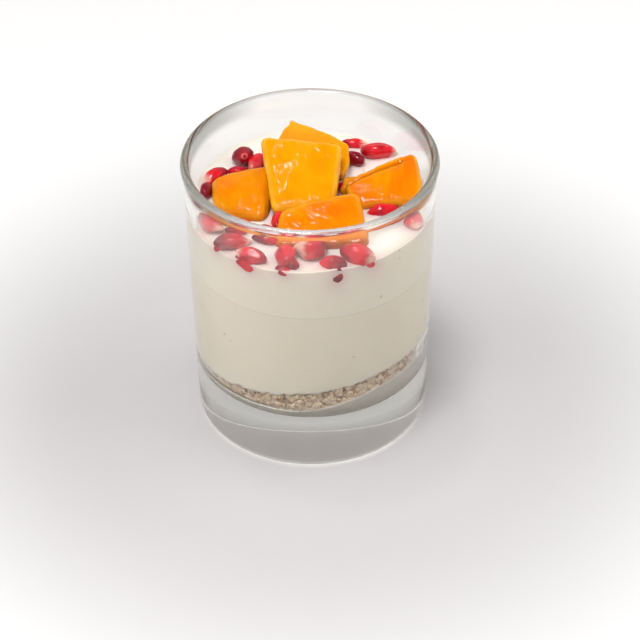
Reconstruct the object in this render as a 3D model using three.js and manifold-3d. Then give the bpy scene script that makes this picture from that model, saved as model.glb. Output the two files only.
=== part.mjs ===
import * as THREE from 'three';
import Module from 'manifold-3d';
import { mergeVertices } from 'three/addons/utils/BufferGeometryUtils.js';

// A yogurt parfait in its tumbler: a bed of oats on the glass floor, yogurt up to
// 15 mm below the rim, and on top six pieces of peach and pomegranate arils.
// Millimetres, +Z up. The origin is the middle of the foot, where the glass stands.

const wasm = await Module();
wasm.setup();

// ---------------------------------------------------------------- driving dimensions

const SIDES = 40; // facets round the glass
const GAP = 0.3; // space kept between pieces that touch
const DEGREE = Math.PI / 180;

const tumbler = {
  height: 95,
  rimRadius: 40, // outside of the lip
  lipRadius: 1.38, // of the lip's round section
  lipBlend: 1.5, // the wall runs into the lip this many lip radii below its middle
  wallRadius: 37.1, // outside of the wall, carried down to z = 0
  wallTaper: 0.0239, // how much wider the outside grows per millimetre
  footInner: 30, // the flat ring that the glass stands on
  footOuter: 33.4,
  heelHeight: 3.9, // rounded edge between foot and wall
  recess: 1.5, // shallow hollow under the base
  floor: 18.3, // top of the thick base
  floorCorner: 6.7, // round corner between floor and inner wall
  boreRadius: 33.8, // inside of the wall, carried down to z = 0
  boreTaper: 0.0358,
};

const yogurt = {
  level: 79.1, // mean height of its surface
  lean: 0.8, // rise from the middle to the far wall
  twist: 0.8, // rise of the far left and the near right, fall of the other two
  meniscus: 0.6, // how far it climbs at the wall
  meniscusPower: 12, // how suddenly it climbs
  swell: 0.35, // soft waves of its surface
  waveTurns: [0.17, 0.14], // radians per millimetre along X and Y
};

const oats = {
  level: 29.2, // mean height of the top of the bed
  slope: 4.6, // rise from the middle to the high side
  slopeHeading: -15 * DEGREE, // where the high side lies, from +X
  lump: 0.55, // height of its lumps
  lumpTurns: [0.83, 0.91], // radians per millimetre along X and Y
  waveTurns: [0.37, -0.52], // of a longer wave, half as high
  coreInset: 1.3, // the flakes stand this far proud of the core
  flakeLength: 5,
  flakeWidth: 4,
  flakeThickness: 1.8,
  flakeSpread: 0.25, // how far sizes stray from the mean
  flakesRound: 15, // in a row round the wall
  rows: 3,
  lowestRow: 1.6, // above the glass floor
  rowStray: 0.35, // of the space between rows
  rowTop: 0.6, // the top row stays this share of a row under the surface
  flakeTip: 1.3, // range of the tips round a flake's length, in radians
  flakeLean: 0.9, // range of the leans off the wall
  cornerLean: 0.55, // how far flakes follow the round corner
};

// Each peach piece has four corners of its upper face, near left first and then
// round by the right, and the thickness of the flesh under that face. Its edges are
// rounded, its upper face is crowned, its sides bulge, and its lower face is smaller
// by `under`.
const peachPieces = [
  {
    name: 'peach_front',
    corners: [[-11.2, -25.5, 81], [18.2, -26.5, 81], [15, -7.6, 88.8], [-8.8, -13.6, 85.6]],
    thickness: 7.5,
    crown: 0.9,
    edge: 2.6,
    bulge: 0,
    under: 0.9,
  },
  {
    name: 'peach_top',
    corners: [[-12.4, -12, 84.6], [7.8, -7.4, 85.4], [10.5, 10.8, 93.1], [-15.8, 14.4, 93.9]],
    thickness: 6.6,
    crown: 1.1,
    edge: 2.4,
    bulge: 0.02,
    under: 0.92,
  },
  {
    name: 'peach_left',
    corners: [[-29.4, -9, 81.6], [-12.2, -14.4, 81.4], [-11, 9, 87.2], [-31.4, 5.2, 84.6]],
    thickness: 7,
    crown: 1.5,
    edge: 2.8,
    bulge: 0.06,
    under: 0.88,
  },
  {
    name: 'peach_right',
    corners: [[15.8, -7, 81.2], [34, -3.6, 82], [32, 13.2, 87.7], [11.4, 2.8, 84.6]],
    thickness: 7.5,
    crown: 1.2,
    edge: 2.8,
    bulge: 0.09,
    under: 0.86,
  },
  {
    name: 'peach_back',
    corners: [[-12, 14, 86], [10.2, 6.5, 83.6], [12.4, 18.6, 87.4], [-5.8, 31.2, 88.3]],
    thickness: 7,
    crown: 0.9,
    edge: 1.7,
    bulge: 0.11,
    under: 0.85,
  },
  {
    name: 'peach_low',
    corners: [[9.6, 1.2, 82], [15.5, 2, 82], [16.5, 7.2, 83.2], [10.2, 7.6, 83]],
    thickness: 5.5,
    crown: 0.5,
    edge: 1.6,
    bulge: 0.03,
    under: 0.9,
  },
];

// Each aril has the middle of its body, the heading of its pale tip from +X, its
// tilt (tip up), its length, and its girth beside the usual one.
const arils = [
  { at: [-21.2, 19.1, 82.2], heading: -80, tilt: 38, length: 8.8, girth: 1.36 },
  { at: [-16.8, 16.4, 81.8], heading: -113, tilt: 8, length: 9.4, girth: 0.95 },
  { at: [-22.7, 12.9, 81.2], heading: -176, tilt: 0, length: 7.4, girth: 0.8 },
  { at: [-30.0, 9.7, 81.1], heading: -140, tilt: -4, length: 10, girth: 0.9 },
  { at: [-32.4, 2.6, 81.2], heading: 75, tilt: 0, length: 7.6, girth: 1 },
  { at: [-29.8, -13.0, 80.8], heading: -51, tilt: 4, length: 11.2, girth: 1.08 },
  { at: [-22.0, -15.0, 80.4], heading: 24, tilt: 0, length: 8, girth: 0.9 },
  { at: [-22.8, -22.4, 80.4], heading: 10, tilt: 0, length: 11, girth: 0.92 },
  { at: [-17.5, -29.6, 80.0], heading: 156, tilt: 6, length: 10, girth: 0.9 },
  { at: [-13.0, -20.2, 81.0], heading: -11, tilt: 0, length: 9, girth: 1 },
  { at: [-7.6, -30.0, 80.8], heading: 89, tilt: 10, length: 9.5, girth: 1.2 },
  { at: [0.2, -27.2, 81.5], heading: 179, tilt: 4, length: 10.7, girth: 1.55 },
  { at: [13.9, -30.2, 80.7], heading: -22, tilt: -4, length: 11.2, girth: 1.1 },
  { at: [6.6, -33.4, 79.7], heading: 170, tilt: 0, length: 8.2, girth: 1.05 },
  { at: [30.6, -12.6, 80.9], heading: -78, tilt: -4, length: 9.6, girth: 1.04 },
  { at: [22.4, -6.9, 79.1], heading: -165, tilt: 0, length: 10.4, girth: 0.9 },
  { at: [-6.0, -32.2, 79.3], heading: 128, tilt: 0, length: 6.8, girth: 1.05 },
  { at: [21.8, 22.9, 81.4], heading: 2, tilt: -2, length: 11.8, girth: 0.86 },
  { at: [14.2, 28.6, 80.3], heading: -3, tilt: 0, length: 9, girth: 0.72 },
  { at: [14.1, 19.3, 81.2], heading: 143, tilt: 4, length: 7.3, girth: 1.1 },
  { at: [10.8, 4.2, 80.8], heading: -178, tilt: 0, length: 6, girth: 1 },
  { at: [-9.8, -14.0, 81.4], heading: 84, tilt: 0, length: 9.2, girth: 0.8 },
];

// Arils sunk in the yogurt, lying along the wall: where round the glass and how high
// they touch it, and how deep they are pressed against it.
const sunkArils = [
  { turn: -121.4, height: 77.6, press: 0.85, tilt: -8, length: 9.6 },
  { turn: -102.7, height: 78.0, press: 0.3, tilt: -12, length: 5.6 },
  { turn: -77.2, height: 76.0, press: 0.7, tilt: 78, length: 7 },
  { turn: -138.7, height: 79.2, press: 0.3, tilt: 50, length: 6.4 },
  { turn: -61.4, height: 78.2, press: 0.35, tilt: -40, length: 7.2 },
];

const aril = {
  width: 0.62, // of the length
  thickness: 0.56,
  tip: 0.42, // how much the pale end narrows
  facets: 7, // flats where arils pressed on each other
  facetDepth: 0.16,
};

const colours = {
  glass: 0xd9e0dd,
  yogurt: 0xfaf4e6,
  oats: 0xcdb594,
  peach: 0xf3a011,
  aril: 0xa5142c,
};

// ---------------------------------------------------------------- small helpers

// A repeatable random sequence between 0 and 1.
function sequence(seed) {
  let state = seed;
  return () => {
    state = (state * 1664525 + 1013904223) % 4294967296;
    return state / 4294967296;
  };
}

// Shared vertices, and no triangle of zero size.
function weld(geometry) {
  geometry.deleteAttribute('normal');
  geometry.deleteAttribute('uv');
  const merged = mergeVertices(geometry, 1e-4);
  const corner = merged.index.array;
  const kept = [];
  for (let i = 0; i < corner.length; i += 3) {
    const [a, b, c] = [corner[i], corner[i + 1], corner[i + 2]];
    if (a !== b && b !== c && c !== a) kept.push(a, b, c);
  }
  merged.setIndex(kept);
  return merged;
}

// The same closed surface, `distance` further out along its normals.
function inflate(geometry, distance) {
  const grown = geometry.clone();
  grown.computeVertexNormals();
  const place = grown.attributes.position;
  const normal = grown.attributes.normal;
  for (let i = 0; i < place.count; i += 1) {
    place.setXYZ(
      i,
      place.getX(i) + distance * normal.getX(i),
      place.getY(i) + distance * normal.getY(i),
      place.getZ(i) + distance * normal.getZ(i),
    );
  }
  grown.deleteAttribute('normal');
  return grown;
}

function toSolid(geometry) {
  const closed = weld(geometry.clone());
  return new wasm.Manifold(
    new wasm.Mesh({
      numProp: 3,
      vertProperties: new Float32Array(closed.attributes.position.array),
      triVerts: new Uint32Array(closed.index.array),
    }),
  );
}

// The largest body of a solid: loose scraps and sealed hollows are dropped.
function largestBody(solid) {
  const bodies = solid.decompose();
  bodies.sort((a, b) => b.volume() - a.volume());
  return bodies[0];
}

function toGeometry(solid) {
  const mesh = largestBody(solid).getMesh();
  const geometry = new THREE.BufferGeometry();
  const place = new THREE.BufferAttribute(new Float32Array(mesh.vertProperties), 3);
  geometry.setAttribute('position', place);
  geometry.setIndex(Array.from(mesh.triVerts));
  return geometry;
}

// A mesh whose origin is the middle of its own box.
function centredMesh(name, geometry, colour, roughness) {
  geometry.computeBoundingBox();
  const middle = geometry.boundingBox.getCenter(new THREE.Vector3());
  geometry.translate(-middle.x, -middle.y, -middle.z);
  geometry.computeVertexNormals();
  const material = new THREE.MeshStandardMaterial({ color: colour, roughness, metalness: 0 });
  const mesh = new THREE.Mesh(geometry, material);
  mesh.name = name;
  mesh.position.copy(middle);
  return mesh;
}

// ---------------------------------------------------------------- the glass

const outerRadius = (z) => tumbler.wallRadius + tumbler.wallTaper * z;
const innerRadius = (z) => tumbler.boreRadius + tumbler.boreTaper * z;

function revolve(points, sides = SIDES) {
  const profile = points.map(([r, z]) => new THREE.Vector2(r, z));
  return weld(new THREE.LatheGeometry(profile, sides).rotateX(Math.PI / 2));
}

// The inside of the tumbler from its wall at height z down to the axis, set in by
// `inset` all the way.
function borePoints(z, inset, steps = 5) {
  const cornerTop = tumbler.floor + tumbler.floorCorner;
  const cornerCentre = innerRadius(cornerTop) - tumbler.floorCorner;
  const reach = tumbler.floorCorner - inset;
  const points = [[innerRadius(z) - inset, z]];
  for (let i = 0; i <= steps; i += 1) {
    const turn = (i / steps) * 90 * DEGREE;
    points.push([cornerCentre + reach * Math.cos(turn), cornerTop - reach * Math.sin(turn)]);
  }
  points.push([0, tumbler.floor + inset]);
  return points;
}

function glassGeometry() {
  const points = [];
  const recessSteps = 3;
  for (let i = 0; i <= recessSteps; i += 1) {
    const share = i / recessSteps;
    points.push([tumbler.footInner * share, tumbler.recess * (1 - share * share)]);
  }
  const heelSteps = 4;
  const heelWidth = outerRadius(tumbler.heelHeight) - tumbler.footOuter;
  for (let i = 0; i <= heelSteps; i += 1) {
    const turn = (i / heelSteps) * 90 * DEGREE;
    points.push([
      tumbler.footOuter + heelWidth * Math.sin(turn),
      tumbler.heelHeight * (1 - Math.cos(turn)),
    ]);
  }
  const lipCentre = tumbler.rimRadius - tumbler.lipRadius;
  const lipHeight = tumbler.height - tumbler.lipRadius;
  const lipFoot = lipHeight - tumbler.lipBlend * tumbler.lipRadius;
  points.push([outerRadius(lipFoot), lipFoot]);
  const lipSteps = 5;
  for (let i = 0; i <= lipSteps; i += 1) {
    const turn = (i - 1) * 45 * DEGREE;
    points.push([
      lipCentre + tumbler.lipRadius * Math.cos(turn),
      lipHeight + tumbler.lipRadius * Math.sin(turn),
    ]);
  }
  points.push(...borePoints(lipFoot, 0));
  return revolve(points);
}

// Everything that the food may fill: the bore up to the rim, a gap away from it.
const bore = toSolid(revolve([[0, tumbler.height], ...borePoints(tumbler.height, GAP)].reverse()));

// ---------------------------------------------------------------- yogurt and oats

// A round slab wider than the bore, from z = 0 up to the given height at each place.
// Its rings lie closer together towards the wall.
function slab(height) {
  const rings = 4;
  const crowding = 0.8;
  const radius = tumbler.rimRadius;
  const points = [[0, 0], [radius, 0]];
  for (let i = rings; i >= 0; i -= 1) points.push([radius * (i / rings) ** crowding, 1]);
  const geometry = revolve(points);
  const place = geometry.attributes.position;
  for (let i = 0; i < place.count; i += 1) {
    if (place.getZ(i) > 0.5) place.setZ(i, height(place.getX(i), place.getY(i)));
  }
  return toSolid(geometry);
}

function yogurtHeight(x, y) {
  const wall = innerRadius(yogurt.level);
  const out = Math.hypot(x, y) / wall;
  const [along, across] = yogurt.waveTurns;
  const waves = Math.sin(along * x + 0.6) * Math.cos(across * y - 0.4);
  const tilt = (yogurt.lean * y) / wall - (yogurt.twist * x * y) / wall ** 2;
  const climb = yogurt.meniscus * Math.min(1, out) ** yogurt.meniscusPower;
  return yogurt.level + tilt + yogurt.swell * waves + climb;
}

function oatHeight(x, y) {
  const uphill = x * Math.cos(oats.slopeHeading) + y * Math.sin(oats.slopeHeading);
  const [along, across] = oats.lumpTurns;
  const lumps = Math.sin(along * x + 0.5) * Math.sin(across * y - 0.7);
  const wave = 0.5 * Math.sin(oats.waveTurns[0] * x + oats.waveTurns[1] * y);
  return oats.level + (oats.slope * uphill) / tumbler.boreRadius + oats.lump * (lumps + wave);
}

// One oat flake: a small flat eight-sided stone shape, thinner at its edge.
function flakeGeometry(random) {
  const flake = new THREE.IcosahedronGeometry(0.5, 0);
  const size = 1 + oats.flakeSpread * (2 * random() - 1);
  flake.scale(oats.flakeLength * size, oats.flakeWidth * size, oats.flakeThickness);
  flake.rotateZ(random() * Math.PI);
  return flake;
}

// The flakes that show lie in rows round the wall, tipped at random against the core.
function flakeSolids() {
  const random = sequence(11);
  const solids = [];
  const lowest = tumbler.floor + oats.lowestRow;
  for (let row = 0; row < oats.rows; row += 1) {
    for (let i = 0; i < oats.flakesRound; i += 1) {
      const turn = ((i + 0.5 * (row % 2) + 0.5 * random()) / oats.flakesRound) * 2 * Math.PI;
      const wall = innerRadius(tumbler.floor) - oats.coreInset;
      const top = oatHeight(wall * Math.cos(turn), wall * Math.sin(turn));
      const place = (row + oats.rowStray * random()) / (oats.rows - oats.rowTop);
      const z = lowest + (top - lowest) * place;
      const corner = Math.max(0, tumbler.floor + tumbler.floorCorner - z);
      const away = tumbler.floorCorner - Math.sqrt(tumbler.floorCorner ** 2 - corner ** 2);
      const r = innerRadius(z) - oats.coreInset - away;
      const flake = flakeGeometry(random);
      flake.rotateX((random() - 0.5) * oats.flakeTip);
      const lean = oats.cornerLean * (corner / tumbler.floorCorner);
      flake.rotateY(90 * DEGREE - lean + (random() - 0.5) * oats.flakeLean);
      flake.rotateZ(turn);
      flake.translate(r * Math.cos(turn), r * Math.sin(turn), z);
      solids.push(toSolid(flake));
    }
  }
  return solids;
}

function oatSolid() {
  const below = slab((x, y) => oatHeight(x, y) - GAP / 2);
  const corePoints = borePoints(tumbler.height, oats.coreInset, 3);
  const core = toSolid(revolve([[0, tumbler.height], ...corePoints].reverse(), SIDES / 2));
  let bed = core;
  flakeSolids().forEach((flake) => {
    bed = bed.add(flake);
  });
  return largestBody(bed.intersect(below).intersect(bore));
}

function yogurtSolid() {
  const bed = slab((x, y) => oatHeight(x, y) + GAP / 2);
  return bore.intersect(slab(yogurtHeight)).subtract(bed);
}

// ---------------------------------------------------------------- fruit

// A rounded block with `edge` rounding, bent so that its upper face has the four
// corners, its lower face lies `thickness` below, and the upper face is crowned.
function peachGeometry({ corners, thickness, crown, edge, bulge, under }) {
  const [a, b, c, d] = corners.map((corner) => new THREE.Vector3(...corner));
  const wide = b.clone().add(c).sub(a).sub(d).multiplyScalar(0.25);
  const deep = c.clone().add(d).sub(a).sub(b).multiplyScalar(0.25);
  const up = wide.clone().cross(deep).normalize();
  const middle = a.clone().add(b).add(c).add(d).multiplyScalar(0.25);
  const rounding = [edge / wide.length(), edge / deep.length(), (2 * edge) / thickness];
  const block = weld(new THREE.BoxGeometry(2, 2, 2, 5, 5, 3));
  const place = block.attributes.position;
  const round = (t) => Math.sin((t * Math.PI) / 2);
  for (let i = 0; i < place.count; i += 1) {
    const cube = [round(place.getX(i)), round(place.getY(i)), round(place.getZ(i))];
    const rest = cube.map((t, axis) => {
      const flat = 1 - Math.min(1, rounding[axis]);
      return Math.max(-flat, Math.min(flat, t));
    });
    const out = cube.map((t, axis) => (t - rest[axis]) / Math.min(1, rounding[axis]));
    const length = Math.max(1, Math.hypot(...out));
    const [u, v, w] = rest.map((t, axis) => t + (out[axis] / length) * Math.min(1, rounding[axis]));
    const across = u * (1 + bulge * (1 - v * v));
    const along = v * (1 + bulge * (1 - u * u));
    const near = a.clone().lerp(b, (across + 1) / 2);
    const far = d.clone().lerp(c, (across + 1) / 2);
    const face = near.lerp(far, (along + 1) / 2);
    const depth = (1 - w) / 2;
    face.lerp(middle, depth * (1 - under));
    face.addScaledVector(up, -thickness * depth);
    face.addScaledVector(up, crown * (1 - u * u) * (1 - v * v) * (1 - depth));
    place.setXYZ(i, face.x, face.y, face.z);
  }
  return block;
}

// A drop-shaped seed sac along +X, with flats pressed into it.
function arilGeometry({ at, heading, tilt, length, girth }, seed) {
  const random = sequence(seed);
  const body = weld(new THREE.IcosahedronGeometry(1, 1));
  const place = body.attributes.position;
  const flats = [];
  for (let i = 0; i < aril.facets; i += 1) {
    const flat = new THREE.Vector3(random() - 0.5, 2 * (random() - 0.5), 2 * (random() - 0.5));
    flats.push(flat.normalize());
  }
  const point = new THREE.Vector3();
  for (let i = 0; i < place.count; i += 1) {
    point.fromBufferAttribute(place, i);
    flats.forEach((flat) => {
      const over = point.dot(flat) - (1 - aril.facetDepth);
      if (over > 0) point.addScaledVector(flat, -over);
    });
    const narrow = 1 - aril.tip * Math.max(0, point.x) ** 2;
    place.setXYZ(
      i,
      (point.x * length) / 2,
      (point.y * narrow * aril.width * girth * length) / 2,
      (point.z * narrow * aril.thickness * girth * length) / 2,
    );
  }
  body.rotateX(random() * Math.PI);
  body.rotateY(-tilt * DEGREE);
  body.rotateZ(heading * DEGREE);
  body.translate(...at);
  return body;
}

// A sunk aril lies along the wall, with its flank against the glass.
function againstWall({ turn, height, press, tilt, length }) {
  const r = innerRadius(height) - GAP - (aril.thickness * length) / 2 + press;
  const at = [r * Math.cos(turn * DEGREE), r * Math.sin(turn * DEGREE), height];
  return { at, heading: turn + 90, tilt, length, girth: 1 };
}

// The toppings in order of who gives way: each piece is cut back from every piece
// before it in the list, and all of them from the glass wall.
function toppings() {
  const pieces = [];
  [...arils, ...sunkArils.map(againstWall)].forEach((entry, i) => {
    const name = `aril_${String(i + 1).padStart(2, '0')}`;
    pieces.push({ name, kind: 'aril', geometry: arilGeometry(entry, i + 1) });
  });
  peachPieces.forEach((entry) => {
    pieces.push({ name: entry.name, kind: 'peach', geometry: peachGeometry(entry) });
  });
  const done = [];
  pieces.forEach((piece) => {
    let solid = toSolid(piece.geometry).intersect(bore);
    const box = new THREE.Box3().setFromBufferAttribute(piece.geometry.attributes.position);
    done.forEach((other) => {
      if (box.intersectsBox(other.box)) solid = solid.subtract(other.grown);
    });
    const grown = toSolid(inflate(piece.geometry, GAP));
    done.push({ ...piece, solid, grown, box: box.expandByScalar(GAP) });
  });
  return done;
}

// ---------------------------------------------------------------- assembly

const parfait = new THREE.Group();
parfait.name = 'parfait';
parfait.add(centredMesh('glass', glassGeometry(), colours.glass, 0.05));
parfait.add(centredMesh('oats', toGeometry(oatSolid()), colours.oats, 0.9));

const fruit = new THREE.Group();
fruit.name = 'fruit';
let filling = yogurtSolid();
toppings().forEach((piece) => {
  filling = filling.subtract(piece.grown);
  const roughness = piece.kind === 'aril' ? 0.15 : 0.25;
  fruit.add(centredMesh(piece.name, toGeometry(piece.solid), colours[piece.kind], roughness));
});
parfait.add(centredMesh('yogurt', toGeometry(filling), colours.yogurt, 0.35));
parfait.add(fruit);

export default parfait;
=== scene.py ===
import math

import bmesh
import bpy
import numpy as np
from bpy.props import FloatProperty, FloatVectorProperty, IntProperty, PointerProperty
from mathutils import Matrix, Vector, noise
from mathutils.bvhtree import BVHTree


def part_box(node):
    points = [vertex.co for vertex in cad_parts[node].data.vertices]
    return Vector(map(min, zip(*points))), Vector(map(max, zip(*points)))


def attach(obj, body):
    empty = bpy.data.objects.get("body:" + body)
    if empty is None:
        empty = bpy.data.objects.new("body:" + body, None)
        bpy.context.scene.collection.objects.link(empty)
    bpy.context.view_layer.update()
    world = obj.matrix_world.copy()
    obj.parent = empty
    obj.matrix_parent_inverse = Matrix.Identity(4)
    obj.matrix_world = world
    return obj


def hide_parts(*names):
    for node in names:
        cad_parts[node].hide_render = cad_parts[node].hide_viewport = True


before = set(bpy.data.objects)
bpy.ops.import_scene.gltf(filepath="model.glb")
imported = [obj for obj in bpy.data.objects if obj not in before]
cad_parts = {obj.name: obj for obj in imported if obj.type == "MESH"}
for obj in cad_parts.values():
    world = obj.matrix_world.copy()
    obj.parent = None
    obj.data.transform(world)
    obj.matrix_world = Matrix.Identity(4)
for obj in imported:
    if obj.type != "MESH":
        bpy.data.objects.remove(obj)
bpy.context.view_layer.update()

bl_info = {
    "name": "Yogurt Parfait",
    "version": (1, 0, 0),
    "blender": (4, 5, 0),
    "location": "3D Viewport > Sidebar > Parfait",
    "description": "Dresses the packed parfait: glass, yogurt, oats, peach and pomegranate",
    "category": "Add Mesh",
}

GLASS_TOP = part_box("glass")[1].z
MM = 0.001
ARIL_NODES = sorted(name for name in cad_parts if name.startswith("aril_"))
PEACH_NODES = sorted(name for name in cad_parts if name.startswith("peach_"))


# ---- settings


def length(name, description, default):
    """A size in metres."""
    return FloatProperty(
        name=name, description=description, default=default, unit="LENGTH", subtype="DISTANCE"
    )


def number(name, description, default):
    """A plain number."""
    return FloatProperty(name=name, description=description, default=default)


def count(name, description, default):
    """A whole number from 1 up."""
    return IntProperty(name=name, description=description, default=default, min=1)


def angle(name, description, degrees):
    """An angle, given in degrees."""
    return FloatProperty(
        name=name,
        description=description,
        default=math.radians(degrees),
        unit="ROTATION",
        subtype="ANGLE",
    )


def colour(name, description, default):
    """A linear colour."""
    return FloatVectorProperty(
        name=name,
        description=description,
        default=default,
        size=3,
        subtype="COLOR",
        min=0.0,
        max=1.0,
    )


class ParfaitGlassSettings(bpy.types.PropertyGroup):
    """Section of the tumbler and its finish."""

    height: length("Height", "From the foot to the top of the lip", GLASS_TOP)
    rim_radius: length("Rim radius", "Outside of the lip", 0.04)
    lip_radius: length("Lip section", "Radius of the lip's round section", 1.38 * MM)
    wall_radius: length("Wall radius", "Outside of the wall, carried down to the foot", 37.1 * MM)
    wall_taper: number("Wall taper", "Growth of the outside per unit of height", 0.0239)
    bore_radius: length("Bore radius", "Inside of the wall, carried down to the foot", 33.8 * MM)
    bore_taper: number("Bore taper", "Growth of the inside per unit of height", 0.0358)
    foot_inner: length("Foot inside", "Inner radius of the ring it stands on", 31.5 * MM)
    foot_outer: length("Foot outside", "Outer radius of the ring it stands on", 33.4 * MM)
    heel_height: length("Heel height", "Rounded edge between foot and wall", 3.9 * MM)
    recess: length("Recess", "Depth of the hollow under the base", 0.9 * MM)
    floor: length("Floor", "Top of the thick base", 18.3 * MM)
    floor_corner: length("Floor corner", "Rounding between floor and wall", 6.7 * MM)
    segments: count("Segments", "Facets round the glass", 256)
    tint: colour("Tint", "Colour of the glass surface", (0.981, 0.977, 0.971))
    # painted shade: the lip colour darkens the left and right sides of the lip, standing in for
    # dark surroundings seen through it
    lip: colour("Lip", "Colour of light that passes the sides of the lip", (0.69, 0.70, 0.68))
    body: colour("Body", "Colour that long paths through the glass take", (0.64, 0.61, 0.55))
    density: number("Density", "How fast long paths dim", 3.5)
    ripple: length("Ripple", "Height of the slight waves in its faces", 0.01 * MM)


class ParfaitYogurtSettings(bpy.types.PropertyGroup):
    """Surface of the yogurt and its finish."""

    level: length("Level", "Mean height of its surface", 79.1 * MM)
    lean: length("Lean", "Rise from the middle to the far wall", 0.8 * MM)
    twist: length("Twist", "Rise of the far left and the near right", 0.8 * MM)
    overlap: length("Overlap", "How far it reaches into the glass wall", 0.08 * MM)
    wall_climb: length("Wall climb", "How far it climbs at the wall", 0.7 * MM)
    fruit_climb: length("Fruit climb", "How far it climbs at the fruit", 0.45 * MM)
    swell: length("Swell", "Height of its soft waves", 0.35 * MM)
    lower_edge: length("Lower edge", "How far its lower edge waves up and down", 1.3 * MM)
    mark: length("Mark", "Height of a faint line round the wall", 60.8 * MM)
    # painted shade: the top darkens towards the wall over this width
    shore: length("Shore", "Width over which its surface darkens towards the wall", 6 * MM)
    stain: number("Stain", "Strength of the juice's stain beside an aril", 0.6)
    stain_reach: length("Stain reach", "Distance over which the stain fades", 1.5 * MM)
    tint: colour("Tint", "Colour of the yogurt", (0.79, 0.735, 0.615))
    upper: colour("Upper", "Colour above the line", (0.83, 0.785, 0.70))
    # painted light: the top is given a lighter colour than the side's tint
    top: colour("Top", "Colour of the surface", (0.95, 0.90, 0.83))
    line: colour("Line", "Colour of the line", (0.55, 0.50, 0.42))
    speck: colour("Speck", "Colour of a few tiny specks", (0.60, 0.44, 0.22))
    juice: colour("Juice", "Colour where fruit juice has bled into it", (0.70, 0.40, 0.45))


class ParfaitOatsSettings(bpy.types.PropertyGroup):
    """The bed of oats and its finish."""

    level: length("Level", "Mean height of the top of the bed", 29.2 * MM)
    slope: length("Slope", "Rise from the middle to the high side", 4.6 * MM)
    slope_heading: angle("Slope heading", "Where the high side lies, from +X", -15)
    crumb: length("Crumb", "Mean length of a flake", 2.3 * MM)
    wall_count: count("Wall flakes", "Flakes against the wall", 2300)
    air: length("Air", "Space between flakes and glass", 0.1 * MM)
    bare: length("Bare", "Height above the floor from which flakes lie on the glass", 4.1 * MM)
    bare_rise: length("Bare rise", "How much higher that is on the high side", 5.6 * MM)
    fade: length("Fade", "Height over which the core leaves the glass for them", 1.4 * MM)
    packed: length("Packed", "How far behind the glass the core lies", 1.3 * MM)
    overlap: length("Overlap", "How far its underside reaches into the glass", 0.05 * MM)
    pale: colour("Pale", "Lightest flakes", (0.72, 0.565, 0.4))
    brown: colour("Brown", "Darkest flakes", (0.32, 0.15, 0.045))
    damp: colour("Damp", "Smooth underside of the bed", (0.56, 0.53, 0.47))


class ParfaitPeachSettings(bpy.types.PropertyGroup):
    """The peach pieces and their finish."""

    fibre: length("Fibre", "Height of the flesh's fibres", 0.22 * MM)
    groove: length("Groove", "Depth of the groove along the skin side", 0.7 * MM)
    film: length("Film", "Height of the ripples in the wet film", 0.34 * MM)
    yellow: colour("Yellow", "Lighter flesh", (0.80, 0.335, 0.0))
    orange: colour("Orange", "Deeper flesh", (0.79, 0.172, 0.0))
    light: colour("Light", "Fibres", (0.88, 0.42, 0.0))
    # painted highlight: the pale colour laid on the rounded edges
    pale: colour("Pale", "Rounded edges", (0.84, 0.45, 0.03))
    # painted shade on the flanks and underside, and on a darker near end
    shade: colour("Shade", "Flanks and underside", (0.45, 0.085, 0.0))
    # painted shade: a darker colour laid in the groove along the skin side
    painted_crease_shade: colour("Crease", "Groove along the skin side", (0.42, 0.10, 0.0))


class ParfaitArilSettings(bpy.types.PropertyGroup):
    """The pomegranate arils and their finish."""

    # dark: partly the flesh's own colour, partly painted shade; bright: a painted glow of lit
    # flesh
    dark: colour("Dark", "Darkest flesh", (0.22, 0.004, 0.016))
    bright: colour("Bright", "Lit flesh", (0.72, 0.010, 0.022))
    blush: colour("Blush", "Flesh towards the tip", (0.74, 0.09, 0.09))
    pale: colour("Pale", "The tip where the aril was attached", (0.82, 0.50, 0.40))
    ring: colour("Ring", "The scar round the tip", (0.66, 0.20, 0.20))


class ParfaitStageSettings(bpy.types.PropertyGroup):
    """Floor, lights and camera."""

    camera_at: FloatVectorProperty(
        name="Camera place",
        description="Where the camera stands",
        default=(2.634 * MM, -633.58 * MM, 527.08 * MM),
        size=3,
        subtype="TRANSLATION",
        unit="LENGTH",
    )
    camera_pitch: angle("Camera pitch", "How far it looks down", 38.04)
    camera_roll: angle("Camera roll", "How far it leans sideways", -0.561)
    lens: number("Lens", "Focal length in millimetres", 140.0)
    floor_tint: colour("Floor", "Colour of the floor by the glass", (0.61, 0.588, 0.595))
    # painted light: a lighter floor under the glass, lifting its shadow there
    floor_painted_light: colour("Covered floor", "Colour of the floor under the glass", (0.78, 0.77, 0.76))
    floor_far: colour("Far floor", "Colour of the floor further off", (0.95, 0.94, 0.935))


class ParfaitSettings(bpy.types.PropertyGroup):
    """All settings of the parfait."""

    glass: PointerProperty(type=ParfaitGlassSettings)
    yogurt: PointerProperty(type=ParfaitYogurtSettings)
    oats: PointerProperty(type=ParfaitOatsSettings)
    peach: PointerProperty(type=ParfaitPeachSettings)
    aril: PointerProperty(type=ParfaitArilSettings)
    stage: PointerProperty(type=ParfaitStageSettings)


# ---- meshes


def outer_radius(glass, z):
    return glass.wall_radius + glass.wall_taper * z


def inner_radius(glass, z):
    return glass.bore_radius + glass.bore_taper * z


def arc(centre, radius, start, end, steps):
    """Points on an arc in the r, z plane; angles in degrees."""
    turns = [math.radians(start + (end - start) * i / steps) for i in range(steps + 1)]
    return [(centre[0] + radius * math.cos(t), centre[1] + radius * math.sin(t)) for t in turns]


def ladder(start, end, steps):
    """Points on a straight line in the r, z plane, without its first point."""
    return [
        (start[0] + (end[0] - start[0]) * i / steps, start[1] + (end[1] - start[1]) * i / steps)
        for i in range(1, steps + 1)
    ]


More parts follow.
